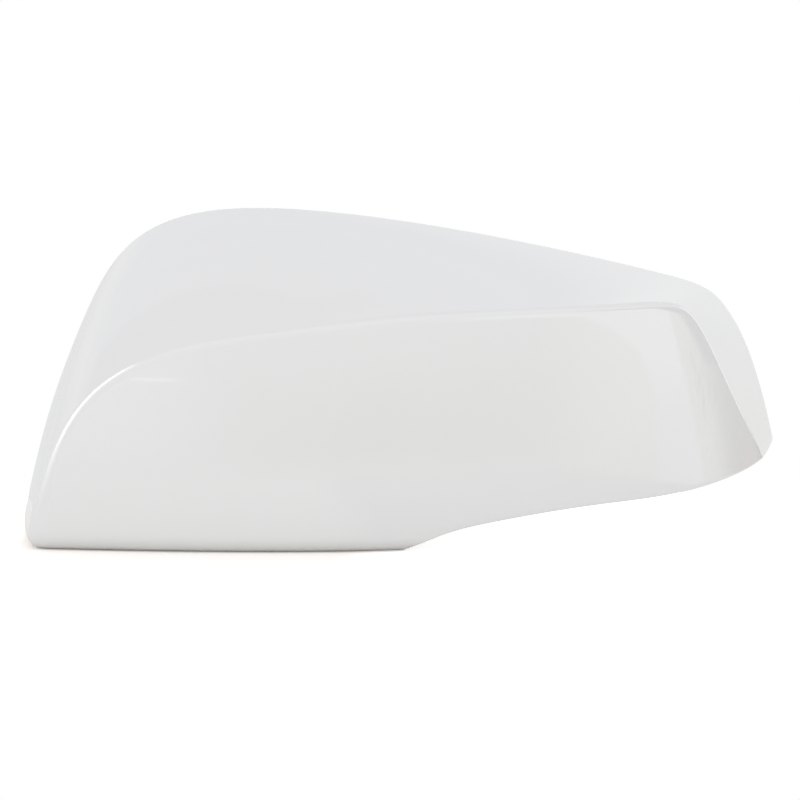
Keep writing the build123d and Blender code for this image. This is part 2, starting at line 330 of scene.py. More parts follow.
def bisect(function, low, high):
    """Places where a function turns from negative to positive, for whole arrays, by halving."""
    low = np.array(low, float)
    high = np.array(high, float)
    for _ in range(HALVINGS):
        middle = (low + high) / 2
        past = function(middle) > 0
        high = np.where(past, middle, high)
        low = np.where(past, low, middle)
    return (low + high) / 2


def inset(points, distance):
    """Control polygon moved to the right of its run: each corner goes along its mitre."""
    runs = unit(np.diff(points, axis=0))
    sides = np.stack([runs[:, 1], -runs[:, 0]], -1)
    before = np.concatenate([sides[:1], sides])
    after = np.concatenate([sides, sides[-1:]])
    return points + (before + after) * (distance / (1 + dot(before, after)))[:, None]


def cubic(points, share):
    """Bezier curve of four values."""
    rest = 1 - share
    return (rest**3 * points[0] + 3 * share * rest**2 * points[1]
            + 3 * share**2 * rest * points[2] + share**3 * points[3])


def cubic_slope(points, share):
    """Its slope."""
    rest = 1 - share
    steps = np.diff(points)
    return 3 * (rest**2 * steps[0] + 2 * share * rest * steps[1] + share**2 * steps[2])


class CoverForm:
    """Outer form of the cover as formulas of u, along the outline, and v, from the front to the rim."""

    def __init__(self, sizes):
        self.sizes = sizes
        self.rim_y = sizes.depth / 2
        self.front_y = -sizes.depth / 2
        self.start_y = self.front_y - sizes.front_lead
        self.span_y = self.rim_y - self.start_y
        self.rim = RIM_OUTLINE * (sizes.length, sizes.height)
        self.front = FRONT_OUTLINE * (sizes.front_length, sizes.front_height)
        self.middle = (self.rim + self.front) / 2 + SWELL_SHARES * sizes.swell
        self.plan_x = FACE_ACROSS * sizes.length
        self.plan_y = self.front_y + np.array([
            sizes.face_inboard_back, -sizes.face_inboard_full,
            -sizes.face_outboard_full, sizes.depth + sizes.face_outboard_past])
        self.lean_z = FACE_UP * sizes.height
        self.lean_y = np.array([sizes.face_foot_lean, -sizes.face_belly, sizes.face_top_lean])
        self.trim_x, self.trim_z = self.trim_curve()
        self.crease_tables()

    def outline_weights(self, u):
        """Weights of the control points of a clamped cubic B-spline, run on past its ends."""
        u = np.asarray(u, float)
        spans = len(self.rim) - DEGREE
        knots = np.concatenate([np.zeros(DEGREE), np.arange(spans + 1), np.full(DEGREE, spans)])
        place = u * spans
        span = np.clip(np.floor(place).astype(int), 0, spans - 1) + DEGREE
        blends = [np.ones_like(place)]
        for degree in range(1, DEGREE + 1):
            raised = []
            carried = np.zeros_like(place)
            for index, blend in enumerate(blends):
                right = knots[span + index + 1] - place
                left = place - knots[span + 1 - degree + index]
                share = blend / (right + left)
                raised.append(carried + right * share)
                carried = left * share
            blends = raised + [carried]
        weights = np.zeros(place.shape + (len(self.rim),))
        for index, blend in enumerate(blends):
            np.put_along_axis(weights, (span - DEGREE + index)[..., None], blend[..., None], -1)
        return weights

    def wall(self, u, v, distance=0.0):
        """Walls: each control point runs quadratically through its front, middle and rim places."""
        u, v = np.broadcast_arrays(np.asarray(u, float), np.asarray(v, float))
        weights = self.outline_weights(u)
        shares = (2 * (v - 0.5) * (v - 1), -4 * v * (v - 1), 2 * v * (v - 0.5))
        outlines = (self.front, self.middle, self.rim)
        across = sum(share[..., None] * (weights @ inset(outline, distance))
                     for share, outline in zip(shares, outlines))
        return np.stack([across[..., 0], self.start_y + v * self.span_y, across[..., 1]], -1)

    def wall_normal(self, u, v):
        """Outward normals of the walls, from their slopes along u and v."""
        back = self.wall(u, v + SLOPE_STEP) - self.wall(u, v - SLOPE_STEP)
        return unit(np.cross(self.along_wall(u, v), back))

    def along_wall(self, u, v):
        """Short steps of the walls along u."""
        return self.wall(u + SLOPE_STEP, v) - self.wall(u - SLOPE_STEP, v)

    def v_at(self, y):
        """v at a depth."""
        return (y - self.start_y) / self.span_y

    def face(self, x, z):
        """Depth of the face: a Bezier curve over x plus a Bezier lean over z; with its two slopes."""
        share = (x - self.plan_x[0]) / (self.plan_x[3] - self.plan_x[0])
        for _ in range(PLAN_STEPS):
            miss = cubic(self.plan_x, share) - x
            share = share - miss / cubic_slope(self.plan_x, share)
            share = np.clip(share, -FACE_OVERRUN, 1 + FACE_OVERRUN)
        foot, belly, top = self.lean_z
        bend = foot - 2 * belly + top
        rise = 2 * (belly - foot)
        up = 2 * (z - foot) / (rise + np.sqrt(rise * rise + 4 * bend * (z - foot)))
        lean = (1 - up)**2 * self.lean_y[0] + 2 * up * (1 - up) * self.lean_y[1] + up**2 * self.lean_y[2]
        slope_x = cubic_slope(self.plan_y, share) / cubic_slope(self.plan_x, share)
        steps_y, steps_z = np.diff(self.lean_y), np.diff(self.lean_z)
        slope_z = ((1 - up) * steps_y[0] + up * steps_y[1]) / ((1 - up) * steps_z[0] + up * steps_z[1])
        return cubic(self.plan_y, share) + lean, slope_x, slope_z

    def face_point(self, x, z):
        """Points of the face and their outward normals."""
        y, slope_x, slope_z = self.face(x, z)
        return np.stack([x, y, z], -1), unit(np.stack([slope_x, -np.ones_like(slope_x), slope_z], -1))

    def behind_face(self, points):
        """Distances of points behind the face, with the normals at the nearest places."""
        x, z = points[..., 0], points[..., 2]
        for _ in range(NEAREST_STEPS):
            foot, normal = self.face_point(x, z)
            distance = -dot(points - foot, normal)
            miss = points - foot + distance[..., None] * normal
            x, z = x + miss[..., 0], z + miss[..., 2]
        return distance, normal

    def trim_curve(self):
        """Lower edge outboard: a cubic spline through a few points, moved in by the edge's rounding."""
        half = self.sizes.length / 2
        notch = self.sizes.notch_x
        points = np.array([
            (notch, 0.0), *((notch + run, rise) for run, rise in TRIM_POINTS), (half / 2, TRIM_QUARTER),
            (half - TRIM_LIFT[0], TRIM_LIFT[1]), (half + TRIM_TIP[0], TRIM_TIP[1])])
        chords = np.linalg.norm(np.diff(points, axis=0), axis=1)
        count = len(points)
        equations = np.eye(count)
        slopes = np.zeros((count, 2))
        slopes[[0, -1]] = unit(np.array([(1.0, slope) for slope in TRIM_SLOPES]))
        steps = np.diff(points, axis=0) / chords[:, None]
        for inner in range(1, count - 1):
            before, after = chords[inner - 1], chords[inner]
            equations[inner, inner - 1:inner + 2] = after, 2 * (before + after), before
            slopes[inner] = 3 * (after * steps[inner - 1] + before * steps[inner])
        slopes = np.linalg.solve(equations, slopes)
        t = np.linspace(0, 1, TRIM_SAMPLES)[:, None]
        curve = np.concatenate([
            (1 + 2 * t) * (1 - t)**2 * points[k] + t * (1 - t)**2 * chords[k] * slopes[k]
            + t**2 * (3 - 2 * t) * points[k + 1] + t**2 * (t - 1) * chords[k] * slopes[k + 1]
            for k in range(count - 1)])
        run = unit(np.gradient(curve, axis=0))
        moved = curve + self.sizes.edge * np.stack([-run[:, 1], run[:, 0]], -1)
        return moved[:, 0], moved[:, 1]

    def trim(self, x):
        """Height of the lower edge at x, far below inboard of the notch."""
        return np.interp(x, self.trim_x, self.trim_z, left=BELOW)

    def crease_tables(self):
        """Rounded crease: a ball that touches wall and face rolls along it, and grows at the two ends."""
        sizes = self.sizes
        u = np.linspace(PAST_FOOT, 1.0, CREASE_SAMPLES)

        def ahead(v):
            point = self.wall(u, v)
            return point[..., 1] - self.face(point[..., 0], point[..., 2])[0]

        v_sharp = bisect(ahead, np.zeros_like(u), np.full_like(u, MEETING_LIMIT))
        along, _, height = self.wall(u, v_sharp).T
        tighter = smooth((along - sizes.crease_tightens) / sizes.crease_tightening)
        inboard = smooth(1 - height / sizes.crease_foot_height) * (u < INBOARD_CREASE)
        outboard = smooth(1 - (height - sizes.crease_tip_low) / sizes.crease_tip_height)
        outboard = outboard * (u > OUTBOARD_CREASE)
        radius = sizes.crease_radius - sizes.crease_tighter * tighter
        radius = radius + sizes.crease_foot * inboard + sizes.crease_tip * outboard

        def inside(v):
            centre = self.wall(u, v) - radius[:, None] * self.wall_normal(u, v)
            return self.behind_face(centre)[0] - radius

        contact = bisect(inside, v_sharp, np.full_like(u, CONTACT_LIMIT))
        from_wall = self.wall_normal(u, contact)
        centre = self.wall(u, contact) - radius[:, None] * from_wall
        to_face = self.behind_face(centre)[1]
        self.crease_u = u
        self.crease_table = np.column_stack([contact, radius, centre, from_wall, to_face])

    def crease(self, u):
        """Contact v, radius, centre and the two end normals of the rounded crease at u."""
        place = (np.asarray(u, float) - self.crease_u[0]) / (self.crease_u[1] - self.crease_u[0])
        low = np.clip(np.floor(place).astype(int), 0, CREASE_SAMPLES - 2)
        share = (place - low)[..., None]
        row = (1 - share) * self.crease_table[low] + share * self.crease_table[low + 1]
        return row[..., 0], row[..., 1], row[..., 2:5], unit(row[..., 5:8]), unit(row[..., 8:11])

    def crease_arc(self, u, share):
        """Rounded crease: centre plus radius times a normal that turns from the wall's to the face's."""
        _, radius, centre, start, end = self.crease(u)
        angle = np.arccos(np.clip(dot(start, end), -1, 1))[..., None]
        share = np.broadcast_to(share, np.shape(u))[..., None]
        normal = (np.sin((1 - share) * angle) * start + np.sin(share * angle) * end) / np.sin(angle)
        return centre + radius[..., None] * normal, normal


class Skin:
    """Outer skin of the shell: points, normals, thickness and quads, welded from grids."""

    WALL_ROWS = 42
    ARC_ROWS = 12
    FACE_ROWS = 46
    ROLL_ROWS = 10
    FLANGE_ROWS = 7
    STEP_RUN = 0.0003  # run of the step behind the rim's land
    SHALLOW = 0.012  # where the wall is less deep than this, the rows by the rim draw together

    def __init__(self, form):
        self.form = form
        sizes = form.sizes
        land = [share * sizes.rim_step for share in LAND_SHARES]
        self.rim_depths = np.array([sizes.edge, *land, sizes.rim_step + self.STEP_RUN])
        grids = [self.walls_and_face(), *self.foot()]
        points = np.concatenate([grid[0].reshape(-1, 3) for grid in grids])
        normals = np.concatenate([grid[1].reshape(-1, 3) for grid in grids])
        thickness = np.concatenate([grid[2].reshape(-1) for grid in grids])
        quads = []
        first = 0
        for grid in grids:
            quads.append(outward(points, normals, grid_quads(*grid[2].shape, first)))
            first += grid[2].size
        kept, self.quads = welded(points, np.concatenate(quads))
        self.points, self.normals, self.thickness = points[kept], normals[kept], thickness[kept]

    def upper(self, u):
        """Rows of the walls, then of the rounded crease, at u for each row: points and normals."""
        form = self.form
        contact = form.crease(u)[0]
        rows = len(self.rim_depths)
        depth = (1 - contact[:self.WALL_ROWS]) * form.span_y
        closeness = np.minimum(1, depth / self.SHALLOW)
        near = self.rim_depths[:, None] * closeness[:rows]
        last = self.rim_depths[-1] * closeness[rows:]
        share = np.linspace(0, 1, self.WALL_ROWS - rows + 1)[1:, None]
        v = 1 - np.concatenate([near, last + (depth[rows:] - last) * share]) / form.span_y
        u_wall, u_arc = u[:self.WALL_ROWS], u[self.WALL_ROWS:]
        turn = np.linspace(0, 1, self.ARC_ROWS + 1)[1:, None]
        arc, arc_normals = form.crease_arc(u_arc, np.broadcast_to(turn, u_arc.shape))
        points = np.concatenate([form.wall(u_wall, v), arc])
        return points, np.concatenate([form.wall_normal(u_wall, v), arc_normals])

    def foot_height(self, x):
        """Height where the face runs into the rolled foot: one radius above its axis' slope."""
        radius = self.form.sizes.foot_radius
        z = np.full_like(x, radius)
        for _ in range(FOOT_STEPS):
            z = radius * (1 + self.form.face_point(x, z)[1][..., 2])
        return z

    def walls_and_face(self):
        """Grid over walls, crease and face. Each row runs from the rolled foot to the trimmed lower edge,
        and the face hangs in upright lines from the crease."""
        form, sizes = self.form, self.form.sizes
        rows = self.WALL_ROWS + self.ARC_ROWS

        def over_foot(u):
            points, normals = self.upper(u)
            return points[..., 2] - sizes.foot_radius * (1 + normals[..., 2])

        def under_trim(u):
            points = self.upper(u)[0]
            return form.trim(points[..., 0]) - points[..., 2]

        start = bisect(over_foot, np.full((rows, 1), PAST_FOOT), np.full((rows, 1), INBOARD[1]))
        end = bisect(under_trim, np.full((rows, 1), OUTBOARD[0]), np.full((rows, 1), OUTBOARD[1]))
        share = np.linspace(0, 1, sizes.columns)
        crease_x = form.crease_arc(start[-1] + (end[-1] - start[-1]) * share, 1.0)[0][:, 0]
        lift_x = np.linspace(sizes.notch_x, sizes.length / 4, LIFT_SAMPLES)
        roll_end = lift_x[np.argmax(form.trim(lift_x) > self.foot_height(lift_x))]
        flat_end = sizes.notch_x - sizes.edge
        for x in (flat_end, roll_end):
            share[np.argmin(np.abs(crease_x - x))] = np.interp(x, crease_x, share)
        points, normals = self.upper(start + (end - start) * share)
        x, top = points[-1, :, 0], points[-1, :, 2]
        bottom = np.maximum(self.foot_height(x), form.trim(x))
        bottom[[0, -1]] = top[[0, -1]]
        down = np.linspace(0, 1, self.FACE_ROWS + 1)[1:, None]
        face, face_normals = form.face_point(np.broadcast_to(x, (self.FACE_ROWS, x.size)),
                                             top + (bottom - top) * down)
        points = np.concatenate([points, face])
        normals = np.concatenate([normals, face_normals])
        thickness = np.full(points.shape[:2], sizes.wall)
        thickness[:1 + len(LAND_SHARES)] = sizes.rim_land
        notch, roll = (int(np.argmin(np.abs(x - end))) for end in (flat_end, roll_end))
        edge = (slice(None, rows), 0), (-1, slice(1, roll + 1))
        self.foot_path = [np.concatenate([values[part] for part in edge])
                          for values in (points, normals, thickness)]
        self.flange_end = rows + notch
        return points, normals, thickness

    def foot(self):
        """Rolled foot and flange: from the lower edge the normal turns down about an axis one radius
        inside, as far as the trimmed edge lets it, and the flange runs flat to its inner edge."""
        form, sizes = self.form, self.form.sizes
        path, normal, thick = self.foot_path
        radius = sizes.foot_radius
        axis = path - radius * normal
        level = unit(normal * (1, 1, 0))
        start = np.arcsin(normal[:, 2])
        limit = form.trim(path[:, 0]) / radius - 1
        limit[:self.flange_end] = -1
        end = np.arcsin(np.clip(limit, -1, normal[:, 2]))
        turn = start + (end - start) * np.linspace(0, 1, self.ROLL_ROWS)[:, None]
        roll_normals = np.cos(turn)[..., None] * level + np.sin(turn)[..., None] * UP
        roll = axis + radius * roll_normals
        roll[..., 1] = np.minimum(roll[..., 1], path[0, 1])
        roll[0] = path
        outer = roll[-1, :self.flange_end]
        inner = self.flange_edge(outer)
        across = np.linspace(0, 1, self.FLANGE_ROWS)[:, None, None]
        flange = outer + (inner - outer) * across
        down = np.broadcast_to(-UP, flange.shape)
        return [(roll, roll_normals, np.broadcast_to(thick, roll.shape[:2])),
                (flange, down, np.broadcast_to(thick[:self.flange_end], flange.shape[:2]))]

    def flange_edge(self, outer):
        """Inner edge of the flange at the points nearest to its outer ones: two lines and an arc."""
        form, sizes = self.form, self.form.sizes
        clear = sizes.edge
        rear = np.array([form.rim[0, 0] + sizes.side_flange - clear, form.rim_y])
        corner = np.array([form.front[0, 0] + sizes.side_flange - clear,
                           form.front_y + sizes.flange_depth - clear])
        far = np.array([sizes.length, corner[1]])
        back, on = unit(rear - corner), unit(far - corner)
        half = math.acos(dot(back, on)) / 2
        reach = sizes.flange_corner / math.tan(half)
        centre = corner + unit(back + on) * sizes.flange_corner / math.sin(half)
        start, end = corner + back * reach - centre, corner + on * reach - centre
        first, last = math.atan2(start[1], start[0]), math.atan2(end[1], end[0])
        if abs(last - first) > math.pi:
            last += math.copysign(2 * math.pi, first - last)
        angles = np.linspace(first, last, CORNER_SAMPLES)
        arc = centre + sizes.flange_corner * np.column_stack([np.cos(angles), np.sin(angles)])
        share = np.linspace(0, 1, FLANGE_SAMPLES)[:, None]
        line = np.concatenate([rear + (arc[0] - rear) * share, arc, arc[-1] + (far - arc[-1]) * share])
        gaps = np.linalg.norm(outer[:, None, :2] - line, axis=-1)
        nearest = line[np.argmin(gaps, axis=1)]
        nearest[:, 1] = np.minimum(nearest[:, 1], outer[:, 1].max())
        nearest[0] = rear[0], outer[0, 1]
        nearest[-1, 0] = outer[-1, 0]
        return np.column_stack([nearest, np.zeros(len(nearest))])


def grid_quads(rows, columns, first=0):
    """Quads of a grid of points that stand row by row from the first one."""
    index = first + np.arange(rows * columns).reshape(rows, columns)
    corners = index[:-1, :-1], index[:-1, 1:], index[1:, 1:], index[1:, :-1]
    return np.stack(corners, -1).reshape(-1, 4)


def outward(points, normals, quads):
    """The quads, turned over if they face against the normals."""
    corners = points[quads]
    facing = np.cross(corners[:, 2] - corners[:, 0], corners[:, 3] - corners[:, 1])
    against = dot(facing, normals[quads].mean(axis=1)).sum() < 0
    return quads[:, ::-1] if against else quads


def welded(points, quads):
    """Points that fall together become one: the places of the kept ones, and the quads between them."""
    keys = np.round(points / WELD).astype(np.int64)
    _, kept, index = np.unique(keys, axis=0, return_index=True, return_inverse=True)
    return kept, index.reshape(-1)[quads]


def open_edges(quads):
    """Edges with a quad on one side only, in the direction that the quad runs."""
    starts, ends = quads.reshape(-1), np.roll(quads, -1, axis=1).reshape(-1)
    real = starts != ends
    starts, ends = starts[real], ends[real]
    size = int(quads.max()) + 1
    lone = ~np.isin(starts * size + ends, ends * size + starts)
    return starts[lone], ends[lone]


def shell_mesh(form):
    """Closed shell: the skin, the same sheet moved in by the thickness, and rounded strips between their
    open edges. By the rim the sheet moves in level with the rim, so that its edge stays flat."""
    skin = Skin(form)
    sizes = form.sizes
    points, normals = skin.points, skin.normals
    rim_share = smooth(1 - (form.rim_y - points[:, 1]) / (2 * sizes.rim_step))[:, None]
    inward = unit(normals - rim_share * normals[:, 1:2] * REAR)
    inner = points - inward * (skin.thickness / dot(normals, inward))[:, None]
    starts, ends = open_edges(skin.quads)
    out = np.zeros_like(points)
    run = unit(points[ends] - points[starts])
    np.add.at(out, starts, np.cross(run, inward[starts]))
    np.add.at(out, ends, np.cross(run, inward[ends]))
    border = np.unique(starts)
    direction = unit(out[border])
    facing = inward[border]
    turns = np.linspace(0, math.pi / 2, EDGE_SEGMENTS + 1)[1:, None, None]
    outer_round = points[border] - sizes.edge * facing + sizes.edge * (
        np.cos(turns) * facing + np.sin(turns) * direction)
    inner_round = inner[border] + sizes.edge * facing + sizes.edge * (
        -np.cos(turns[::-1]) * facing + np.sin(turns[::-1]) * direction)
    strips = np.concatenate([outer_round, inner_round])
    count = len(points)
    place = np.zeros(count, int)
    place[border] = np.arange(len(border))
    levels = [np.arange(count)]
    levels += [2 * count + level * len(border) + place for level in range(len(strips))]
    levels += [count + np.arange(count)]
    edge_quads = np.concatenate([
        np.column_stack([upper[ends], upper[starts], lower[starts], lower[ends]])
        for upper, lower in zip(levels, levels[1:])])
    quads = np.concatenate([skin.quads, edge_quads, skin.quads[:, ::-1] + count])
    finish = np.repeat([0, 0, 1], [len(skin.quads), len(edge_quads), len(skin.quads)])
    return np.concatenate([points, inner, strips.reshape(-1, 3)]), quads, finish


def lattice(points, filled):
    """Block of cells: quads stand wherever a filled cell meets an empty one."""
    padded = np.pad(filled, 1).astype(int)
    index = np.arange(points[..., 0].size).reshape(points.shape[:3])
    quads = []
    for axis in range(3):
        step = np.diff(np.moveaxis(padded, axis, 0)[:, 1:-1, 1:-1], axis=0)
        corner = np.moveaxis(index, axis, 0)
        sides = np.stack([corner[:, :-1, :-1], corner[:, 1:, :-1], corner[:, 1:, 1:], corner[:, :-1, 1:]], -1)
        leaving = -1 if axis != 1 else 1
        quads += [sides[step == leaving], sides[step == -leaving][:, ::-1]]
    return points.reshape(-1, 3), np.concatenate(quads)


def joined(meshes):
    """Several meshes of points and quads as one."""
    points, quads = [], []
    first = 0
    for mesh_points, mesh_quads in meshes:
        points.append(mesh_points)
        quads.append(mesh_quads + first)
        first += len(mesh_points)
    kept, quads = welded(np.concatenate(points), np.concatenate(quads))
    return np.concatenate(points)[kept], quads


def add_piece(name, points, quads, materials, finish=None):
    """Puts points and quads into a mesh object at the origin, without the corners that fell together."""
    keep = quads != np.roll(quads, 1, axis=1)
    whole = keep.sum(axis=1) > 2
    quads, keep = quads[whole], keep[whole]
    used, corners = np.unique(quads[keep], return_inverse=True)
    totals = keep.sum(axis=1)
    mesh = bpy.data.meshes.new(name)
    mesh.vertices.add(len(used))
    mesh.loops.add(len(corners))
    mesh.polygons.add(len(totals))
    mesh.vertices.foreach_set("co", points[used].astype(np.float32).ravel())
    mesh.loops.foreach_set("vertex_index", corners.astype(np.int32))
    mesh.polygons.foreach_set("loop_start", (np.cumsum(totals) - totals).astype(np.int32))
    if finish is not None:
        mesh.polygons.foreach_set("material_index", finish[whole].astype(np.int32))
    mesh.polygons.foreach_set("use_smooth", np.ones(len(totals), bool))
    mesh.update(calc_edges=True)
    mesh.validate()
    mesh.set_sharp_from_angle(angle=SHARP_ANGLE)
    for material in materials:
        mesh.materials.append(material)
    piece = bpy.data.objects.new(name, mesh)
    bpy.context.collection.objects.link(piece)
    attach(piece, BODY)
    return piece


def soften(piece, width):
    """Rounds the edges of a piece."""
    bevel = piece.modifiers.new("Bevel", "BEVEL")
    bevel.width = width
    bevel.segments = BEVEL_SEGMENTS
    bevel.limit_method = "ANGLE"
    bevel.angle_limit = BEVEL_ANGLE
    bevel.harden_normals = True


def tab_seat(form, y, axis, place, stretch, falling):
    """Point and outward normal of the wall at a depth, where x or z has a value, within a stretch of u."""
    sign = -1.0 if falling else 1.0
    v = form.v_at(y)
    u = bisect(lambda u: sign * (form.wall(u, v)[..., axis] - place), stretch[0], stretch[1])
    return u, form.wall(u, v), form.wall_normal(u, v)


def tab_mesh(form, fixings, u, seat, normal):
    """Snap tab: a block of cells with a braced root, a thin arm and a window; its foot follows the wall."""
    inward = -unit(normal * (1, 0, 1))
    side = np.cross(inward, REAR)
    origin = seat + inward * form.sizes.wall
    half, pane = fixings.tab_width / 2, fixings.window / 2
    window_end = fixings.tab_length - fixings.window_edge
    along = np.array([-fixings.tab_brace, 0, fixings.tab_root, window_end - fixings.window,
                      window_end, fixings.tab_length])
    across = np.array([-half, -pane, pane, half])
    gap, top = fixings.tab_gap, fixings.tab_gap + fixings.tab_thickness
    heights = np.array([0, gap, top])
    run, over, height = np.meshgrid(along, across, heights, indexing="ij")
    v = form.v_at(origin[1] + run[..., 0])
    lateral = over[..., 0]
    rising = np.sign(dot(form.along_wall(u, v), side))
    u_foot = bisect(lambda w: rising * (dot(form.wall(w, v) - origin, side) - lateral),
                    np.full_like(v, u - TAB_STRETCH), np.full_like(v, u + TAB_STRETCH))
    foot = dot(form.wall(u_foot, v) - origin, inward) + form.sizes.wall / 2
    height[..., 0] = np.minimum(foot, gap / 2)
    height[0] = foot[0][:, None]
    points = origin + run[..., None] * REAR + over[..., None] * side + height[..., None] * inward
    behind, face_normal = form.behind_face(points)
    points -= np.maximum(0, form.sizes.wall / 2 - behind)[..., None] * face_normal
    filled = np.zeros((len(along) - 1, len(across) - 1, len(heights) - 1), bool)
    filled[:2] = True  # brace and root
    filled[2:, :, 1] = True  # arm
    filled[3, 1] = False  # window
    return lattice(points, filled)


def pin_mesh(form, fixings, x, z):
    """Locating pin: a profile of radius and height turned about an axis to the rear, on the face."""
    thick = form.sizes.wall
    fillet = fixings.root_fillet
    boss, pin, chamfer = fixings.boss_radius, fixings.pin_radius, fixings.pin_chamfer
    top, tip = thick + fixings.boss_length, thick + fixings.pin_length
    bend = np.linspace(0, math.pi / 2, PIN_SEGMENTS + 1)
    flare = np.column_stack([boss + fillet * (1 - np.sin(bend)), thick + fillet * (1 - np.cos(bend))])
    cap = np.column_stack([boss - chamfer / 2 * (1 - np.cos(bend)), top - chamfer / 2 * (1 - np.sin(bend))])
    neck = np.column_stack([pin + fillet / 2 * (1 - np.sin(bend)), top + fillet / 2 * (1 - np.cos(bend))])
    profile = np.concatenate([
        [(0, thick / 2), (boss + fillet, thick / 2)], flare, cap, neck,
        [(pin, tip - chamfer), (pin - chamfer, tip), (0, tip)]])
    follows = np.clip((top - profile[:, 1]) / fixings.boss_length, 0, 1)[:, None]
    angle = np.linspace(0, 2 * math.pi, PIN_SIDES + 1)
    radius = profile[:, :1]
    across = x + radius * np.cos(angle)
    up = z + radius * np.sin(angle)
    seat = form.face(np.array(x), np.array(z))[0]
    y = seat + profile[:, 1:] + follows * (form.face(across, up)[0] - seat)
    points = np.stack([across, y, up], -1)
    points[:, -1] = points[:, 0]
    normals = np.stack([radius * np.cos(angle), np.broadcast_to(profile[:, 1:] - top, y.shape),
                        radius * np.sin(angle)], -1)
    flat = points.reshape(-1, 3)
    return flat, outward(flat, normals.reshape(-1, 3), grid_quads(*y.shape))


def rib_mesh(form, fixings):
    """Stop rib: a rounded band carried along the wall's inner side, between its two feet."""
    thick = form.sizes.wall
    rear = form.rim_y - fixings.stop_setback
    front = rear - fixings.rib
    root, crest, bevel = thick / 2, thick + fixings.stop_height, fixings.bevel
    band = ((root, front), (crest - bevel, front), (crest, front + bevel),
            (crest, rear - bevel), (crest - bevel, rear), (root, rear), (root, front))
    v = form.v_at(rear)

    def above_foot(u):
        return form.wall(u, v, crest)[..., 2] - fixings.stop_foot

    start = bisect(above_foot, INBOARD[0], INBOARD[1])
    end = bisect(lambda u: -above_foot(u), OUTBOARD[0], OUTBOARD[1])
    u = np.linspace(start, end, RIB_COLUMNS)
    rows = np.stack([form.wall(u, form.v_at(y), inwards) for inwards, y in band])
    middle = rows[:-1].mean(axis=0)
    closed = np.concatenate([np.broadcast_to(middle[:1], (len(band), 1, 3)), rows,
                             np.broadcast_to(middle[-1:], (len(band), 1, 3))], axis=1)
    spokes = closed - np.concatenate([middle[:1], middle, middle[-1:]])
    flat = closed.reshape(-1, 3)
    return flat, outward(flat, spokes.reshape(-1, 3), grid_quads(*closed.shape[:2]))


def gusset_mesh(form, fixings, x):
    """Gusset: one cell between the flange and the face, with a sloping back."""
    thick = form.sizes.wall
    half = fixings.rib / 2
    rear = form.front_y + form.sizes.flange_depth - fixings.rib
    low, step, top = thick / 2, thick, thick + fixings.gusset_height
    across, share, height = np.meshgrid([x - half, x + half], [0.0, 1.0], [low, step, top], indexing="ij")
    front = form.face(across, height)[0] + thick / 2
    back = np.where(height > step, front, rear)
    points = np.stack([across, front + (back - front) * share, height], -1)
    return lattice(points, np.ones((1, 1, 2), bool))


class Signal:
    """A value that runs between shader nodes: reckoning with it adds nodes to its tree."""

    def __init__(self, socket):
        self.socket = socket
        self.tree = socket.id_data

    def worked(self, operation, *values):
        """Result of a Math node on this and further values."""
        node = self.tree.nodes.new("ShaderNodeMath")
        node.operation = operation
        for socket, value in zip(node.inputs, (self, *values)):
            feed(socket, value)
        return Signal(node.outputs[0])

    def __add__(self, other):
        return self.worked("ADD", other)

    def __sub__(self, other):
        return self.worked("SUBTRACT", other)

    def __mul__(self, other):
        return self.worked("MULTIPLY", other)

    def __truediv__(self, other):
        return self.worked("DIVIDE", other)

    def at_least(self, other):
        """The larger of the two."""
        return self.worked("MAXIMUM", other)

    def at_most(self, other):
        """The smaller of the two."""
        return self.worked("MINIMUM", other)

    def mapped(self, start, end, low=0.0, high=1.0, kind="LINEAR"):
        """Runs from low, where this is at the start, to high at the end, and stays there past them."""
        node = add_node(self.tree, "ShaderNodeMapRange", "Mapped", Value=self,
                        From_Min=start, From_Max=end, To_Min=low, To_Max=high)
        node.interpolation_type = kind
        return Signal(node.outputs[0])

    def ramp(self, start, end):
        """Runs smoothly from 0 at the start to 1 at the end, which may lie either way."""
        low, high = min(start, end), max(start, end)
        return self.mapped(low, high, float(start > end), float(start < end), "SMOOTHSTEP")

    def between(self, low, high, soft_low, soft_high):
        """1 between two values, with a soft edge at each."""
        return self.ramp(low - soft_low, low + soft_low) * self.ramp(high + soft_high, high - soft_high)


def feed(socket, value):
    """Gives a socket a value, or a link from a signal."""
    if isinstance(value, Signal):
        value.tree.links.new(value.socket, socket)
    else:
        socket.default_value = value


def add_node(tree, kind, label, **inputs):
    """A shader node with values or signals given to its inputs by name."""
    node = tree.nodes.new(kind)
    node.label = label
    for name, value in inputs.items():
        feed(node.inputs[name.replace("_", " ")], value)
    return node


def parts(vector):
    """The three parts of a vector."""
    node = add_node(vector.tree, "ShaderNodeSeparateXYZ", "Parts", Vector=vector)
    return [Signal(output) for output in node.outputs]


def noise(label, place, settings):
    """Noise over places."""
    return Signal(add_node(place.tree, "ShaderNodeTexNoise", label, Vector=place, **settings).outputs["Fac"])


def mixed(label, factor, first, second):
    """Colour between two colours by a factor."""
    node = add_node(factor.tree, "ShaderNodeMix", label)
    node.data_type = "RGBA"
    for index, value in zip(MIX_INPUTS, (factor, first, second)):
        feed(node.inputs[index], value)
    return Signal(node.outputs[MIX_OUTPUT])


def rays(tree):
    """1 for what the camera sees straight on or through glass, and 1 for what the gloss mirrors."""
    paths = tree.nodes.new("ShaderNodeLightPath").outputs
    seen = Signal(paths["Is Camera Ray"]).at_least(Signal(paths["Is Transmission Ray"]))
    return seen, Signal(paths["Is Glossy Ray"])


def rgba(shade, scale=1.0):
    """A colour, lighter or darker by a scale, as four numbers."""
    return tuple(channel * scale for channel in shade) + (1.0,)


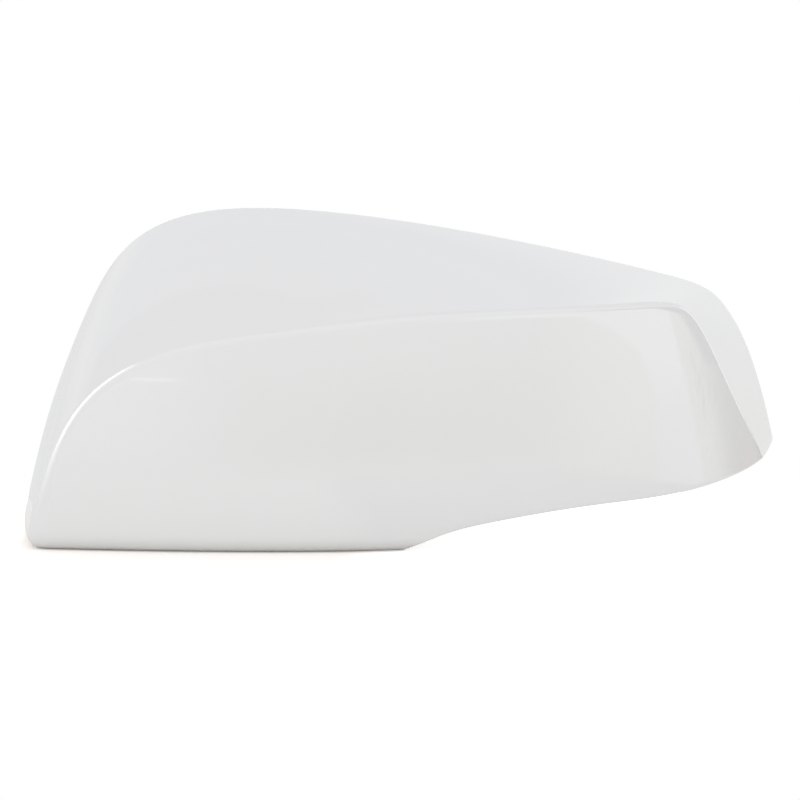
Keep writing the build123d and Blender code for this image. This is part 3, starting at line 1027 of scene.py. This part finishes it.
def new_material(name):
    """A node material with only its shader and output, and object coordinates for its patterns."""
    material = bpy.data.materials.new(name)
    material.use_nodes = True
    tree = material.node_tree
    tree.nodes.clear()
    shader = tree.nodes.new("ShaderNodeBsdfPrincipled")
    output = tree.nodes.new("ShaderNodeOutputMaterial")
    tree.links.new(shader.outputs["BSDF"], output.inputs["Surface"])
    return material, shader, Signal(tree.nodes.new("ShaderNodeTexCoord").outputs["Object"])


def gloss_paint(finish):
    """White paint under a clear coat: faint cloudiness in its colour and gloss, and painted shade that
    darkens it on the rolled foot.
    """
    material, shader, place = new_material("gloss_paint")
    cloud = noise("Cloudiness", place, CLOUDINESS)
    paint = mixed("Paint", cloud, *(rgba(finish.paint, shade) for shade in PAINT_SHADES))
    height = parts(place)[2]
    # Painted shade: low on the rolled foot the paint darkens to the foot colour
    feed(shader.inputs["Base Color"], mixed("Foot", height.ramp(*FOOT_SHADE_HEIGHTS), paint, rgba(finish.foot)))
    feed(shader.inputs["Roughness"], cloud.mapped(0.0, 1.0, *PAINT_ROUGHNESS))
    feed(shader.inputs["Coat Weight"], 1.0)
    feed(shader.inputs["Coat Roughness"], finish.coat_roughness)
    return material


def bare_plastic(finish):
    """Moulded plastic: fine grain, uneven gloss, and a dusting of paint that fades in towards the rim."""
    material, shader, place = new_material("bare_plastic")
    flow = noise("Flow", place, FLOW)
    plastic = mixed("Plastic", flow, *(rgba(finish.plastic, shade) for shade in PLASTIC_SHADES))
    specks = noise("Specks", place, SPECKS)
    depth = parts(place)[1]
    near_rim = (flow * SPRAY_WANDER + depth).mapped(*SPRAY_DEPTHS)
    dust = (near_rim * SPRAY_DENSITY + specks).mapped(*SPRAY_LEVELS)
    feed(shader.inputs["Base Color"], mixed("Overspray", dust, plastic, rgba(finish.paint)))
    feed(shader.inputs["Roughness"], flow.mapped(0.0, 1.0, *PLASTIC_ROUGHNESS))
    grain = add_node(place.tree, "ShaderNodeBump", "Grain", Height=specks, **GRAIN)
    feed(shader.inputs["Normal"], Signal(grain.outputs["Normal"]))
    return material


def finish_material(name):
    """The finish of that name, made on its first use."""
    makers = {"gloss_paint": gloss_paint, "bare_plastic": bare_plastic}
    found = bpy.data.materials.get(name)
    return found or makers[name](bpy.context.scene.mirror_cover_finish)


def add_floor(setup):
    """White floor just under the cover: it takes the shadow, but painted light washes that shadow out under
    the raised edge and beside the inboard wall; its lit part is seen as white, and it is clear from below."""
    half = setup.floor_size / 2
    low, rear = -setup.floor_drop, setup.floor_rear
    corners = [(-half, -half, low), (half, -half, low), (half, rear, low), (-half, rear, low)]
    mesh = bpy.data.meshes.new("floor")
    mesh.from_pydata(corners, [], [(0, 1, 2, 3)])
    material, shader, place = new_material("floor")
    tree = place.tree
    feed(shader.inputs["Base Color"], rgba(setup.floor))
    feed(shader.inputs["Roughness"], FLOOR_ROUGHNESS)
    feed(shader.inputs["Specular IOR Level"], 0.0)
    right, back, _ = parts(place)
    seen, glossy = rays(tree)
    # Painted light: a stronger glow, seen by the camera only, whitens the floor's shadow under the raised
    # edge and beside the inboard wall
    painted_floor_light = right.ramp(*FLOOR_BRIGHTENS).at_least(right.ramp(*FLOOR_LEFT)) * seen
    feed(shader.inputs["Emission Color"], mixed("Glow", painted_floor_light, rgba(setup.floor_glow), rgba(FLOOR_WHITE)))
    mirrored = glossy * right.ramp(*reversed(FLOOR_BRIGHTENS)) * back.ramp(*FLOOR_FRONT) * FLOOR_MIRRORED
    feed(shader.inputs["Emission Strength"], seen.at_least(mirrored))
    surface = shader.outputs["BSDF"].links[0].to_socket
    sides = add_node(tree, "ShaderNodeMixShader", "Clear from below")
    sources = (tree.nodes.new("ShaderNodeNewGeometry").outputs["Backfacing"], shader.outputs["BSDF"],
               tree.nodes.new("ShaderNodeBsdfTransparent").outputs["BSDF"])
    for source, socket in zip(sources, sides.inputs):
        tree.links.new(source, socket)
    tree.links.new(sides.outputs["Shader"], surface)
    mesh.materials.append(material)
    floor = bpy.data.objects.new("floor", mesh)
    bpy.context.collection.objects.link(floor)


def add_world(scene, setup):
    """White surroundings with pale panels, which show only as faint edges in the gloss.

    Bearing is the angle to the right of the camera's side and height the angle above the horizon.
    """
    world = bpy.data.worlds.new("surroundings")
    world.use_nodes = True
    tree = world.node_tree
    tree.nodes.clear()
    x, y, z = parts(Signal(tree.nodes.new("ShaderNodeTexCoord").outputs["Generated"]))
    bearing = x.worked("ARCTAN2", y * -1.0)
    height = z.worked("ARCSINE")

    def panelled(view, panels):
        """The view with soft-edged panels laid over it in order."""
        for name, bearings, slant, heights, tint in panels:
            sides = (height * slant + bearing).between(*map(math.radians, bearings))
            ends = height.between(*map(math.radians, heights))
            view = mixed(name, sides * ends, view, rgba(tint))
        return view

    # Behind the cover: a window on a flat wall, round on its left and straight on its right
    behind = y.at_least(REAR_LEAST)
    across, up = x / behind, z / behind
    aside = (across - WINDOW_MIDDLE[0]).at_most(0.0) / WINDOW_REACH[0]
    rise = up - WINDOW_MIDDLE[1]
    rise = (rise / WINDOW_REACH[1]).at_least(rise / -WINDOW_REACH[2])
    window = (aside * aside + rise * rise).ramp(1 + WINDOW_EDGE, 1 - WINDOW_EDGE)
    window = window * (up * WINDOW_SLANT + across).ramp(*WINDOW_RIGHT)
    view = mixed("Window", window, rgba(REAR_SKY), rgba(WINDOW))
    view = mixed("Rear low", height.ramp(*REAR_LOW_HEIGHTS), view, rgba(REAR_LOW))
    view = mixed("Front sky", y.ramp(*SKY_TURN), view, rgba(WHITE))

    # On the camera's side: a wall with round upper corners before a brighter one
    view = panelled(view, WALL_PANELS)
    aside = (bearing - FRONT_MIDDLE[0]) / FRONT_REACH[0]
    rise = ((height - FRONT_MIDDLE[1]) / FRONT_REACH[1]).at_least(0.0)
    front = (aside * aside + rise * rise).ramp(1 + FRONT_EDGE, 1 - FRONT_EDGE)
    view = mixed("Front wall", front, view, panelled(rgba(FRONT), FRONT_PANELS))
    view = panelled(view, EDGE_PANELS)

    # Streaks where the warm edge darkens
    stretched = add_node(tree, "ShaderNodeCombineXYZ", "Stretched",
                         X=bearing * STREAKS[0], Y=height * STREAKS[1])
    streak = noise("Streak", Signal(stretched.outputs["Vector"]), STREAK_NOISE).ramp(*STREAK_EDGE)
    streak = streak * (height * STREAK_SLANT + bearing).between(*STREAK_BEARINGS)
    streak = streak * height.between(*STREAK_HEIGHTS)
    view = mixed("Streaks", streak, view, rgba(STREAK))
    view = panelled(view, SIDE_PANELS)

    # Soft light, a little stronger on some sides, on everything that isn't a mirror image
    lean = x * LIGHT_LEAN[0] + y * LIGHT_LEAN[1] + z * LIGHT_LEAN[2]
    seen, glossy = rays(tree)
    mirrored = seen.at_least(glossy)
    view = mixed("Mirrored", mirrored, rgba(LIGHT_TINT), view)
    view = mixed("White background", seen, view, rgba(WHITE))
    strength = mirrored.mapped(0.0, 1.0, (lean + 1.0) * setup.light, 1.0)
    background = add_node(tree, "ShaderNodeBackground", "Light", Color=view, Strength=strength)
    output = tree.nodes.new("ShaderNodeOutputWorld")
    tree.links.new(background.outputs["Background"], output.inputs["Surface"])
    scene.world = world


def add_camera(scene, setup):
    """Camera in front of the face, a little above it."""
    data = bpy.data.cameras.new("camera")
    data.sensor_width = SENSOR
    data.lens = SENSOR * setup.lens
    camera = bpy.data.objects.new("camera", data)
    away = Vector((0.0, -math.cos(setup.camera_rise), math.sin(setup.camera_rise)))
    camera.location = Vector((0.0, 0.0, setup.aim_height)) + away * setup.camera_distance
    camera.rotation_euler = away.to_track_quat("Z", "Y").to_euler()
    bpy.context.collection.objects.link(camera)
    scene.camera = camera


class MIRRORCOVER_OT_shell(Operator):
    """Builds the painted shell in place of the solid cover"""

    bl_idname = "mirror_cover.shell"
    bl_label = "Cover shell"

    def execute(self, context):
        points, quads, finish = shell_mesh(CoverForm(context.scene.mirror_cover_sizes))
        materials = [finish_material("gloss_paint"), finish_material("bare_plastic")]
        shell = add_piece("cover_shell", points, quads, materials, finish)
        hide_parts(NODE)
        return {"FINISHED"}


class MIRRORCOVER_OT_snap_tabs(Operator):
    """Builds the six snap tabs on the inner side of the walls"""

    bl_idname = "mirror_cover.snap_tabs"
    bl_label = "Snap tabs"

    def execute(self, context):
        form = CoverForm(context.scene.mirror_cover_sizes)
        fixings = context.scene.mirror_cover_fixings
        y = form.rim_y - fixings.tab_setback - fixings.tab_length
        seats = [tab_seat(form, y, 0, x, ROOF, False) for x in ROOF_TABS]
        seats += [tab_seat(form, y, 2, z, INBOARD, False) for z in INBOARD_TABS]
        seats += [tab_seat(form, y, 2, z, OUTBOARD, True) for z in OUTBOARD_TABS]
        tabs = joined([tab_mesh(form, fixings, *seat) for seat in seats])
        soften(add_piece("snap_tabs", *tabs, [finish_material("bare_plastic")]), fixings.bevel)
        return {"FINISHED"}


class MIRRORCOVER_OT_locating_pins(Operator):
    """Builds the two locating pins on the back of the face"""

    bl_idname = "mirror_cover.locating_pins"
    bl_label = "Locating pins"

    def execute(self, context):
        form = CoverForm(context.scene.mirror_cover_sizes)
        fixings = context.scene.mirror_cover_fixings
        pins = joined([pin_mesh(form, fixings, x, z) for x, z in PIN_PLACES])
        add_piece("locating_pins", *pins, [finish_material("bare_plastic")])
        return {"FINISHED"}


class MIRRORCOVER_OT_ribs(Operator):
    """Builds the stop rib along the rim and the gussets on the lower flange"""

    bl_idname = "mirror_cover.ribs"
    bl_label = "Stop rib and gussets"

    def execute(self, context):
        form = CoverForm(context.scene.mirror_cover_sizes)
        fixings = context.scene.mirror_cover_fixings
        plastic = [finish_material("bare_plastic")]
        add_piece("stop_rib", *joined([rib_mesh(form, fixings)]), plastic)
        gussets = joined([gusset_mesh(form, fixings, x) for x in GUSSET_PLACES])
        soften(add_piece("gussets", *gussets, plastic), fixings.bevel)
        return {"FINISHED"}


class MIRRORCOVER_OT_stage(Operator):
    """Sets up the floor, the surrounding light and the camera"""

    bl_idname = "mirror_cover.stage"
    bl_label = "Stage"

    def execute(self, context):
        setup = context.scene.mirror_cover_stage
        add_floor(setup)
        add_world(context.scene, setup)
        add_camera(context.scene, setup)
        context.scene.view_settings.view_transform = "Standard"
        return {"FINISHED"}


class MIRRORCOVER_PT_panel(Panel):
    """Lists the pieces of the cover"""

    bl_label = "Mirror cover"
    bl_space_type = "VIEW_3D"
    bl_region_type = "UI"
    bl_category = "Mirror cover"

    def draw(self, context):
        for operator in OPERATORS:
            self.layout.operator(operator.bl_idname)


GROUPS = {
    "mirror_cover_sizes": CoverSizes,
    "mirror_cover_fixings": FixingSizes,
    "mirror_cover_finish": CoverFinish,
    "mirror_cover_stage": StageSetup,
}
OPERATORS = (MIRRORCOVER_OT_shell, MIRRORCOVER_OT_snap_tabs, MIRRORCOVER_OT_locating_pins,
             MIRRORCOVER_OT_ribs, MIRRORCOVER_OT_stage)
CLASSES = (*GROUPS.values(), *OPERATORS, MIRRORCOVER_PT_panel)


def register():
    """Registers the classes and gives the scene its settings."""
    for added in CLASSES:
        bpy.utils.register_class(added)
    for name, group in GROUPS.items():
        setattr(bpy.types.Scene, name, PointerProperty(type=group))


def unregister():
    """Takes them away again."""
    for name in GROUPS:
        delattr(bpy.types.Scene, name)
    for added in reversed(CLASSES):
        bpy.utils.unregister_class(added)


def main():
    """Builds every piece and the stage."""
    register()
    bpy.ops.mirror_cover.shell()
    bpy.ops.mirror_cover.snap_tabs()
    bpy.ops.mirror_cover.locating_pins()
    bpy.ops.mirror_cover.ribs()
    bpy.ops.mirror_cover.stage()


if __name__ == "__main__":
    main()
